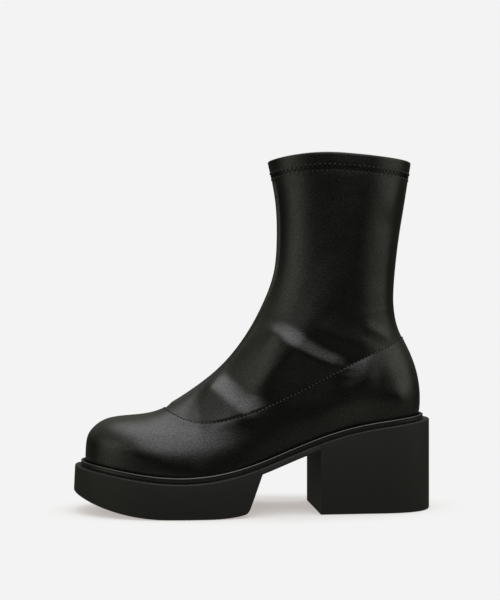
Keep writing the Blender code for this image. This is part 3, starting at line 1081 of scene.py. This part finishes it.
def upper_shell(settings):
    """Points and faces of the upper's wall, and for each face the number of its material."""
    plain, levels = plain_skin()
    direction = outward(plain)
    skin = dressed_skin(settings, plain, levels)
    rising = unit(skin[-1] - skin[-2])
    rim = []
    for turn in np.linspace(0.0, np.pi, RIM_STEPS + 1)[1:-1]:
        inwards = WALL / 2 * (1 - np.cos(turn)) * direction[-1]
        rim.append(skin[-1] - inwards + RIM_RADIUS * np.sin(turn) * rising - RIM_RADIUS * rising)
    skin[-1] -= RIM_RADIUS * rising
    lining_rings = sorted({0, *range(len(levels) - 1, 0, -LINING_STRIDE)}, reverse=True)
    lining = plain[lining_rings] - WALL * direction[lining_rings]
    lining[0] -= RIM_RADIUS * rising
    rings = [*skin, *rim, *lining]
    points, faces = loft(rings)
    # The raw edge shows from the last step but one of the lap down to the shaft
    first_edge = list(levels).index(LAP_EDGE[-2][0])
    kinds = np.full(len(rings), LEATHER)
    kinds[first_edge : first_edge + 2] = CUT_EDGE
    kinds[len(skin) + len(rim) - 1 :] = LINING
    return points, faces, np.repeat(kinds, skin.shape[1])


def stitch_tree():
    """Node tree that sews a closed row of stitches along a path, straight or in a zigzag."""
    tree = bpy.data.node_groups.new("stitch_row", "GeometryNodeTree")
    inputs = {
        "Path": "Geometry",
        "Count": "Int",
        "Zigzag height": "Float",
        "Stitch share": "Float",
        "Thread": "Float",
        "Pucker or hole shade": "Float",
        "Thread material": "Material",
        "Pucker or hole shade material": "Material",
    }
    for name, kind in inputs.items():
        tree.interface.new_socket(name, in_out="INPUT", socket_type="NodeSocket" + kind)
    tree.interface.new_socket("Stitches", in_out="OUTPUT", socket_type="NodeSocketGeometry")
    given = add_node(tree, "NodeGroupInput").outputs
    index = add_node(tree, "GeometryNodeInputIndex")
    position = add_node(tree, "GeometryNodeInputPosition")
    facing = add_node(tree, "GeometryNodeInputNamedAttribute", {"Name": "facing"}, data_type="FLOAT_VECTOR")
    rise = add_node(tree, "GeometryNodeInputNamedAttribute", {"Name": "rise"}, data_type="FLOAT_VECTOR")

    # Needle holes lie evenly along the path, and every other one is raised in a zigzag
    curve = add_node(tree, "GeometryNodeMeshToCurve", {"Mesh": given["Path"]})
    even = add_node(tree, "GeometryNodeResampleCurve", {"Curve": curve, "Count": given["Count"]})
    odd = add_node(tree, "FunctionNodeIntegerMath", {0: index, 1: 2}, operation="MODULO")
    half = add_node(tree, "ShaderNodeMath", {0: odd, 1: 0.5}, operation="SUBTRACT")
    lift = add_node(tree, "ShaderNodeMath", {0: half, 1: given["Zigzag height"]}, operation="MULTIPLY")
    offset = add_node(tree, "ShaderNodeVectorMath", {0: rise, "Scale": lift}, operation="SCALE")
    holes = add_node(tree, "GeometryNodeSetPosition", {"Geometry": even, "Offset": offset})

    # Each stitch runs from its hole towards the next one, with its back to the leather
    following = add_node(tree, "FunctionNodeIntegerMath", {0: index, 1: 1}, operation="ADD")
    wrapped = add_node(
        tree, "FunctionNodeIntegerMath", {0: following, 1: given["Count"]}, operation="MODULO"
    )
    ahead = add_node(
        tree, "GeometryNodeFieldAtIndex", {"Value": position, "Index": wrapped}, data_type="FLOAT_VECTOR"
    )
    span = add_node(tree, "ShaderNodeVectorMath", {0: ahead, 1: position}, operation="SUBTRACT")
    reach = add_node(tree, "ShaderNodeVectorMath", {0: span}, operation="LENGTH")
    turned = add_node(tree, "FunctionNodeAlignRotationToVector", {"Vector": span}, axis="X")
    rolled = add_node(
        tree, "FunctionNodeAlignRotationToVector", {"Rotation": turned, "Vector": facing},
        axis="Z", pivot_axis="X",
    )
    size = add_node(tree, "ShaderNodeCombineXYZ", {"X": reach, "Y": given["Thread"], "Z": given["Thread"]})
    ball = add_node(tree, "GeometryNodeMeshUVSphere", {"Segments": 8, "Rings": 6, "Radius": 0.5})
    share = add_node(tree, "ShaderNodeCombineXYZ", {"X": given["Stitch share"], "Y": 1.0, "Z": 1.0})
    stitch = add_node(
        tree, "GeometryNodeTransform", {"Geometry": ball, "Translation": (0.5, 0.0, 0.0), "Scale": share}
    )
    smooth = add_node(tree, "GeometryNodeSetShadeSmooth", {"Geometry": stitch})
    sewn = add_node(
        tree, "GeometryNodeInstanceOnPoints",
        {"Points": holes, "Instance": smooth, "Rotation": rolled, "Scale": size},
    )

    # At each hole sits a small round bead: leather that puckers up, or painted shade that stands for the
    # dark inside of the hole
    bead = add_node(tree, "GeometryNodeMeshUVSphere", {"Segments": 8, "Rings": 5, "Radius": given["Pucker or hole shade"]})
    soft_bead = add_node(tree, "GeometryNodeSetShadeSmooth", {"Geometry": bead})
    marked = add_node(
        tree, "GeometryNodeStoreNamedAttribute", {"Geometry": soft_bead, "Name": "pucker", "Value": True},
        data_type="BOOLEAN", domain="FACE",
    )
    puckers = add_node(tree, "GeometryNodeInstanceOnPoints", {"Points": holes, "Instance": marked})
    joined = add_node(tree, "GeometryNodeJoinGeometry")
    for part in (sewn, puckers):
        fill_inputs(tree, joined, {"Geometry": part})
    real = add_node(tree, "GeometryNodeRealizeInstances", {"Geometry": joined})
    threaded = add_node(
        tree, "GeometryNodeSetMaterial", {"Geometry": real, "Material": given["Thread material"]}
    )
    is_pucker_or_hole_shade = add_node(tree, "GeometryNodeInputNamedAttribute", {"Name": "pucker"}, data_type="BOOLEAN")
    finished = add_node(
        tree, "GeometryNodeSetMaterial",
        {"Geometry": threaded, "Selection": is_pucker_or_hole_shade, "Material": given["Pucker or hole shade material"]},
    )
    add_node(tree, "NodeGroupOutput", {"Stitches": finished})
    return tree


def sew(name, tree, points, facing, rise, values):
    """Sews one closed row of stitches along points in millimetres and makes it a plain mesh."""
    count = len(points)
    edges = [(i, (i + 1) % count) for i in range(count)]
    mesh = bpy.data.meshes.new(name)
    mesh.from_pydata((points * MM).tolist(), edges, [])
    for attribute, vectors in (("facing", facing), ("rise", rise)):
        layer = mesh.attributes.new(attribute, "FLOAT_VECTOR", "POINT")
        layer.data.foreach_set("vector", np.ascontiguousarray(vectors, np.float32).ravel())
    row = bpy.data.objects.new(name + "_path", mesh)
    bpy.context.scene.collection.objects.link(row)
    modifier = row.modifiers.new("sewing", "NODES")
    modifier.node_group = tree
    for socket in tree.interface.items_tree:
        if socket.name in values:
            modifier[socket.identifier] = values[socket.name]
    shown = row.evaluated_get(bpy.context.evaluated_depsgraph_get())
    sewn = bpy.data.objects.new(name, bpy.data.meshes.new_from_object(shown))
    bpy.data.objects.remove(row)
    sewn.data.name = name
    bpy.context.scene.collection.objects.link(sewn)
    return sewn


def ring_at(skin, direction, depths, wanted):
    """A closed loop on the skin where depths, which grow down the rings, have a value, and what it faces."""
    rows = np.arange(len(skin))
    columns = np.arange(skin.shape[1])
    place = np.array([np.interp(wanted, depths[::-1, j], rows[::-1]) for j in columns])
    low = np.minimum(place.astype(int), len(skin) - 2)
    share = (place - low)[:, None]
    loop, facing = [
        (1 - share) * values[low, columns] + share * values[low + 1, columns] for values in (skin, direction)
    ]
    return loop, unit(facing)


def stitch_pairs(points, pitch):
    """How many pairs of stitches of this pitch fit a closed row of points in millimetres."""
    length = np.linalg.norm(np.roll(points, -1, axis=0) - points, axis=1).sum() * MM
    return round(length / pitch / 2)


class BOOT_OT_stitches(bpy.types.Operator):
    """Sews the seam of the vamp and the zigzag of the hem"""

    bl_idname = "boot.stitches"
    bl_label = "Stitches"

    def execute(self, context):
        leather = context.scene.boot_leather
        sewing = context.scene.boot_stitches
        tree = stitch_tree()
        plain, levels = plain_skin()
        skin = dressed_skin(leather, plain, levels)
        direction = outward(skin)

        # In the seam each stitch is a satin stroke, and at each needle hole a small bead of painted shade
        # stands for the dark hole
        vamp = levels <= SEAM_LEVEL
        points, facing = ring_at(skin[vamp], direction[vamp], depth(skin[vamp]), sewing.seam_margin / MM)
        rise = unit(np.cross(np.roll(points, -1, axis=0) - points, facing))
        nylon = sewing_thread("bonded_nylon_thread", sewing.thread_colour, roughness=0.3, specular=0.5)
        values = {
            "Count": 2 * stitch_pairs(points, sewing.seam_pitch),
            "Zigzag height": 0.0,
            "Stitch share": sewing.stitch_share,
            "Thread": sewing.thread,
            "Pucker or hole shade": sewing.needle_hole_shade / 2,
            "Thread material": nylon,
            "Pucker or hole shade material": bpy.data.materials.get("raw_leather_edge_and_hole_shade") or cut_edge_and_hole_shade(),
        }
        seam = sew("vamp_seam_stitches", tree, points, facing, rise, values)
        dress(seam, None)

        # In the hem the thread is near black and matt, partly its own colour and partly painted shade where
        # it sinks into the leather, and the leather puckers up at each turn of the zigzag
        points, facing = ring_at(skin, direction, depth(plain), leather.hem_depth / MM)
        rise = unit(np.array([0.0, 0.0, 1.0]) - facing * facing[:, 2:])
        polyester = sewing_thread(
            "bonded_polyester_thread", sewing.hem_thread_and_shade_colour, roughness=0.8, specular=0.06
        )
        values = {
            "Count": 2 * stitch_pairs(points, sewing.hem_pitch),
            "Zigzag height": sewing.hem_height,
            "Stitch share": HEM_STITCH_SHARE,
            "Thread": sewing.hem_thread,
            "Pucker or hole shade": sewing.hem_pucker / 2,
            "Thread material": polyester,
            "Pucker or hole shade material": bpy.data.materials.get("satin_stretch_leather") or stretch_leather(leather),
        }
        hem = sew("hem_zigzag_stitches", tree, points, facing, rise, values)
        dress(hem, None)
        return {"FINISHED"}


def full_stations(inset):
    """Stations of a piece that runs from toe to heel."""
    toe = TOE_X + inset
    rear = REAR_X - inset
    return toe + (rear - toe) * spread(SOLE_STATIONS)


def plan_ring(inset, lift):
    """A closed loop of points along the plan, lift above the ledge."""
    x = full_stations(inset)
    z = ledge(x) + lift
    outer = np.stack([x, plan_edge("outer", x, inset), z], axis=-1)
    inner = np.stack([x, plan_edge("inner", x, inset), z], axis=-1)
    return np.concatenate([outer, inner[-2:0:-1]])


def rounded_edge(radius):
    """Steps of a rounded edge from its flat to its side, as (inset, drop) pairs."""
    turns = np.linspace(0.0, np.pi / 2, EDGE_STEPS + 1)
    return [(radius * (1 - np.sin(a)), radius * (1 - np.cos(a))) for a in turns]


def slab(stations_of, top, bottom, flare=0.0, round_top=0.0, round_low=0.0, inset=0.0):
    """Points and faces of the sole's outline between two height lines, with round edges and a flared foot.

    stations_of gives the stations of an outline that is taken in by a given inset.
    """
    levels = [(inset + inwards, top, -drop) for inwards, drop in rounded_edge(round_top)]
    for inwards, drop in reversed(rounded_edge(round_low)):
        levels.append((inset + inwards - flare, bottom, drop))
    points = []
    count = len(stations_of(inset))
    for taken_in, line, lift in levels:
        x = stations_of(taken_in)
        z = line(x) + lift
        for side in ("outer", "inner"):
            points += np.stack([x, plan_edge(side, x, taken_in), z], axis=-1).tolist()

    def corner(level, side, station):
        return (2 * level + side) * count + station

    faces = []
    for j in range(count - 1):
        for level in range(len(levels) - 1):
            for side in (0, 1):
                upper_edge = [corner(level, side, j), corner(level, side, j + 1)]
                lower_edge = [corner(level + 1, side, j + 1), corner(level + 1, side, j)]
                faces.append(upper_edge + lower_edge)
        for level in (0, len(levels) - 1):
            outer_edge = [corner(level, 0, j), corner(level, 0, j + 1)]
            inner_edge = [corner(level, 1, j + 1), corner(level, 1, j)]
            faces.append(outer_edge + inner_edge)
    for j in (0, count - 1):
        outer = [corner(level, 0, j) for level in range(len(levels))]
        inner = [corner(level, 1, j) for level in reversed(range(len(levels)))]
        faces.append(outer + inner)
    return points, faces


def outsole_under(x):
    """Underside of the platform and waist: toe spring, flat tread, raked back face and thin waist."""
    spring_radius = ((ROLL_START_X - TOE_X) ** 2 + TOE_SPRING**2) / (2 * TOE_SPRING)
    lift_radius = ((RAKE_FOOT_X - FLAT_END_X) ** 2 + REAR_LIFT**2) / (2 * REAR_LIFT)
    spring = spring_radius - np.sqrt(spring_radius**2 - np.clip(ROLL_START_X - x, 0.0, None) ** 2)
    behind = np.clip(x - FLAT_END_X, 0.0, RAKE_TOP_X - FLAT_END_X)
    tread = spring + lift_radius - np.sqrt(lift_radius**2 - behind**2)
    waist = ledge(x) - WAIST_THICKNESS
    steepness = (ledge(RAKE_TOP_X) - WAIST_THICKNESS - REAR_LIFT) / (RAKE_TOP_X - RAKE_FOOT_X)
    rake = REAR_LIFT + steepness * (x - RAKE_FOOT_X)
    platform = (tread + rake + np.sqrt((tread - rake) ** 2 + RAKE_ROUND**2)) / 2
    platform = np.where(x < FLAT_END_X, tread, platform)
    return np.minimum(platform, waist)


def outsole_stations(inset):
    """Stations of the outsole from toe to heel breast, close together at the toe and the raked face."""
    toe = TOE_X + inset
    round_toe = toe + (ROLL_START_X - toe) * (1 - np.cos(np.linspace(0.0, np.pi / 2, TOE_STATIONS)))
    tread = np.linspace(ROLL_START_X, RAKE_FOOT_X - RAKE_ROUND, TREAD_STATIONS)[1:]
    rake = np.linspace(RAKE_FOOT_X - RAKE_ROUND, RAKE_TOP_X, RAKE_STATIONS)[1:]
    waist = np.linspace(RAKE_TOP_X, BREAST_X - GAP, WAIST_STATIONS)[1:]
    return np.concatenate([round_toe, tread, rake, waist])


def heel_stations(inset):
    """Stations of the heel from its breast to its round back."""
    rear = REAR_X - inset
    return rear - (rear - BREAST_X) * (1 - np.sin(np.linspace(0.0, np.pi / 2, HEEL_STATIONS)))


class BOOT_OT_insole(bpy.types.Operator):
    """Lays the cloth-covered footbed inside the upper"""

    bl_idname = "boot.insole"
    bl_label = "Insole"

    def execute(self, context):
        points, faces = slab(
            full_stations, lambda x: ledge(x) + GAP + INSOLE_THICKNESS, lambda x: ledge(x) + GAP,
            round_top=TOP_EDGE_RADIUS, inset=UPPER_INSET + WALL + GAP,
        )
        piece = add_piece("cloth_insole", points, faces, [sock_cloth(context.scene.boot_leather)])
        dress(piece, "insole")
        return {"FINISHED"}


def welt_section():
    """Section of the welt as pairs: share of its width from the outside, share of its height."""
    turns = np.radians(np.linspace(*WELT_BEAD_TURN, WELT_BEAD_POINTS))
    across = WELT_BEAD_MIDDLE[0] + WELT_BEAD_REACH[0] * np.cos(turns)
    up = WELT_BEAD_MIDDLE[1] + WELT_BEAD_REACH[1] * np.sin(turns)
    return [*WELT_BAND, *zip(across, up), *WELT_BACK]


class BOOT_OT_welt(bpy.types.Operator):
    """Runs the welt with its bead round the foot of the upper"""

    bl_idname = "boot.welt"
    bl_label = "Welt"

    def execute(self, context):
        settings = context.scene.boot_sole
        width = UPPER_INSET - GAP - WELT_OUTER_INSET
        rings = []
        for across, up in welt_section():
            rings.append(plan_ring(WELT_OUTER_INSET + across * width, GAP + up * (WELT_HEIGHT - GAP)))
        points, faces = loft(rings)
        rubber = moulded_rubber(
            "extruded_rubber_welt", settings.welt_colour, settings.welt_roughness, settings.grit,
            specular=0.75,
        )
        piece = add_piece("rubber_welt", points, faces, [rubber])
        dress(piece, "welt")
        return {"FINISHED"}


class BOOT_OT_outsole(bpy.types.Operator):
    """Moulds the platform with its toe spring, raked back and thin waist"""

    bl_idname = "boot.outsole"
    bl_label = "Outsole"

    def execute(self, context):
        settings = context.scene.boot_sole
        points, faces = slab(
            outsole_stations, ledge, outsole_under,
            flare=SOLE_FLARE, round_top=TOP_EDGE_RADIUS, round_low=LOW_EDGE_RADIUS,
        )
        rubber = moulded_rubber(
            "moulded_rubber_sole", settings.rubber_colour, settings.rubber_roughness, settings.grit,
            specular=0.35,
        )
        piece = add_piece("rubber_outsole", points, faces, [rubber])
        dress(piece, "outsole")
        return {"FINISHED"}


class BOOT_OT_heel(bpy.types.Operator):
    """Moulds the block heel"""

    bl_idname = "boot.heel"
    bl_label = "Heel"

    def execute(self, context):
        settings = context.scene.boot_sole
        points, faces = slab(
            heel_stations, ledge, np.zeros_like, round_top=TOP_EDGE_RADIUS, round_low=LOW_EDGE_RADIUS
        )
        rubber = moulded_rubber(
            "moulded_rubber_heel", settings.rubber_colour, settings.rubber_roughness, settings.grit,
            specular=0.35,
        )
        piece = add_piece("rubber_heel", points, faces, [rubber])
        dress(piece, "heel")
        return {"FINISHED"}


def add_light(name, colour, place, aim, size, fades, radiance):
    """A rectangular light at place that faces aim, both in millimetres. It fades out towards its edges."""
    data = bpy.data.lights.new(name, "AREA")
    data.shape = "RECTANGLE"
    data.size, data.size_y = [value * MM for value in size]
    data.color = linear(colour)
    data.energy = radiance * np.pi * data.size * data.size_y
    data.use_nodes = True
    tree = data.node_tree
    face = add_node(tree, "ShaderNodeNewGeometry").outputs["Parametric"]
    axes = add_node(tree, "ShaderNodeSeparateXYZ", {0: face}).outputs
    strength = 1.0
    for axis, fade in zip("XY", fades):
        inside = add_node(tree, "ShaderNodeMath", {0: axes[axis], 1: 0.5}, operation="PINGPONG")
        shown = add_node(
            tree, "ShaderNodeMapRange", {"Value": inside, "From Max": fade}, interpolation_type="SMOOTHSTEP"
        )
        strength = add_node(tree, "ShaderNodeMath", {0: strength, 1: shown}, operation="MULTIPLY")
    fill_inputs(tree, tree.nodes["Emission"], {"Strength": strength})
    light = bpy.data.objects.new(name, data)
    light.location = Vector(place) * MM
    light.rotation_euler = (Vector(aim) - Vector(place)).to_track_quat("-Z", "Y").to_euler()
    light.visible_camera = False
    bpy.context.scene.collection.objects.link(light)


def seamless_paper(settings):
    """Seamless paper: matt by the boot, where it takes a soft warm shadow, and evenly bright further off."""
    material, tree, shader, place = new_material("seamless_paper")
    oval = add_node(tree, "ShaderNodeVectorMath", {0: place, 1: SHADOW_STRETCH}, operation="MULTIPLY")
    away = add_node(tree, "ShaderNodeVectorMath", {0: oval}, operation="LENGTH")
    near, far = SHADOW_FADE
    open_floor = add_node(
        tree, "ShaderNodeMapRange", {"Value": away, "From Min": near * MM, "From Max": far * MM},
        interpolation_type="SMOOTHSTEP",
    )
    glow = add_node(tree, "ShaderNodeEmission", {"Color": opaque(settings.paper_colour)})
    mixed = add_node(tree, "ShaderNodeMixShader", {0: open_floor, 1: shader, 2: glow})
    # The shadow's own colour glows, and the light on the open floor adds the rest of the paper's colour
    lit = (np.array(settings.paper_colour) - np.array(settings.shadow_colour)) / settings.paper_light
    fill_inputs(
        tree, shader,
        {
            "Base Color": opaque(lit), "Roughness": 1.0, "Specular IOR Level": 0.0,
            "Emission Color": opaque(settings.shadow_colour), "Emission Strength": 1.0,
        },
    )
    fill_inputs(tree, tree.nodes["Material Output"], {"Surface": mixed})
    return material


def studio_world(settings):
    """Pale backdrop for the camera, and dim walls for the boot to mirror, darkest in front."""
    world = bpy.data.worlds.new("studio")
    world.use_nodes = True
    tree = world.node_tree
    tree.nodes.clear()
    camera_ray = add_node(tree, "ShaderNodeLightPath").outputs["Is Camera Ray"]
    direction = add_node(tree, "ShaderNodeTexCoord").outputs["Generated"]
    axes = add_node(tree, "ShaderNodeSeparateXYZ", {0: direction}).outputs
    total = 0.0
    for axis, start, end, at_start, at_end in WORLD_LIGHT:
        part = add_node(
            tree, "ShaderNodeMapRange",
            {"Value": axes[axis], "From Min": start, "From Max": end, "To Min": at_start, "To Max": at_end},
        )
        total = add_node(tree, "ShaderNodeMath", {0: total, 1: part})
    seen = add_node(tree, "ShaderNodeBackground", {"Color": opaque(settings.paper_colour)})
    # The walls are a little warm, which the black leather shows most where no lamp is mirrored
    walls = opaque(linear("#f4f4e4"))
    mirrored = add_node(tree, "ShaderNodeBackground", {"Color": walls, "Strength": total})
    mixed = add_node(tree, "ShaderNodeMixShader", {0: camera_ray, 1: mirrored, 2: seen})
    add_node(tree, "ShaderNodeOutputWorld", {"Surface": mixed})
    return world


class BOOT_OT_stage(bpy.types.Operator):
    """Sets the pale floor, the studio light and the camera"""

    bl_idname = "boot.stage"
    bl_label = "Stage"

    def execute(self, context):
        scene = context.scene
        settings = scene.boot_stage
        mesh = bpy.data.meshes.new("floor")
        half = FLOOR_HALF * MM
        level = FLOOR_LEVEL * MM
        corners = [(-half, -half, level), (half, -half, level), (half, half, level), (-half, half, level)]
        mesh.from_pydata(corners, [], [(0, 1, 2, 3)])
        mesh.materials.append(seamless_paper(settings))
        floor = bpy.data.objects.new("floor", mesh)
        scene.collection.objects.link(floor)

        # The camera alone sees the floor; what the boot mirrors of it is the world's lower half
        floor.visible_glossy = False
        floor.visible_diffuse = False
        floor.visible_shadow = False
        for *light, share in LIGHTS:
            add_light(*light, share * settings.key_radiance)
        scene.world = studio_world(settings)

        data = bpy.data.cameras.new("camera")
        data.lens = data.sensor_width * FOCAL_PIXELS / PICTURE_HEIGHT
        data.shift_x = -RIGHT_PIXELS / PICTURE_HEIGHT
        data.shift_y = DOWN_PIXELS / PICTURE_HEIGHT
        data.clip_start = CLIP_START * MM
        camera = bpy.data.objects.new("camera", data)
        camera.location = Vector(CAMERA_PLACE) * MM
        # A quarter turn brings a camera that looks down to look level
        camera.rotation_euler = (np.pi / 2, 0.0, np.radians(CAMERA_TURN))
        scene.collection.objects.link(camera)
        scene.camera = camera
        scene.view_settings.view_transform = "Standard"
        return {"FINISHED"}


class BOOT_PT_sidebar(bpy.types.Panel):
    """Lists the boot's settings and the operators that build it"""

    bl_label = "Stretch ankle boot"
    bl_idname = "BOOT_PT_sidebar"
    bl_space_type = "VIEW_3D"
    bl_region_type = "UI"
    bl_category = "Boot"

    def draw(self, context):
        layout = self.layout
        for group in SETTINGS:
            box = layout.box()
            for name in SETTINGS[group].__annotations__:
                box.prop(getattr(context.scene, group), name)
        for operator in OPERATORS:
            layout.operator(operator.bl_idname)


SETTINGS = {
    "boot_leather": BootLeatherSettings,
    "boot_stitches": BootStitchSettings,
    "boot_sole": BootSoleSettings,
    "boot_stage": BootStageSettings,
}
OPERATORS = (
    BOOT_OT_upper,
    BOOT_OT_stitches,
    BOOT_OT_insole,
    BOOT_OT_welt,
    BOOT_OT_outsole,
    BOOT_OT_heel,
    BOOT_OT_stage,
)


def register():
    for group, kind in SETTINGS.items():
        bpy.utils.register_class(kind)
        setattr(bpy.types.Scene, group, PointerProperty(type=kind))
    for operator in OPERATORS:
        bpy.utils.register_class(operator)
    bpy.utils.register_class(BOOT_PT_sidebar)


def unregister():
    bpy.utils.unregister_class(BOOT_PT_sidebar)
    for operator in reversed(OPERATORS):
        bpy.utils.unregister_class(operator)
    for group, kind in SETTINGS.items():
        delattr(bpy.types.Scene, group)
        bpy.utils.unregister_class(kind)


def main():
    register()
    bpy.ops.boot.upper()
    bpy.ops.boot.stitches()
    bpy.ops.boot.insole()
    bpy.ops.boot.welt()
    bpy.ops.boot.outsole()
    bpy.ops.boot.heel()
    bpy.ops.boot.stage()


if __name__ == "__main__":
    main()
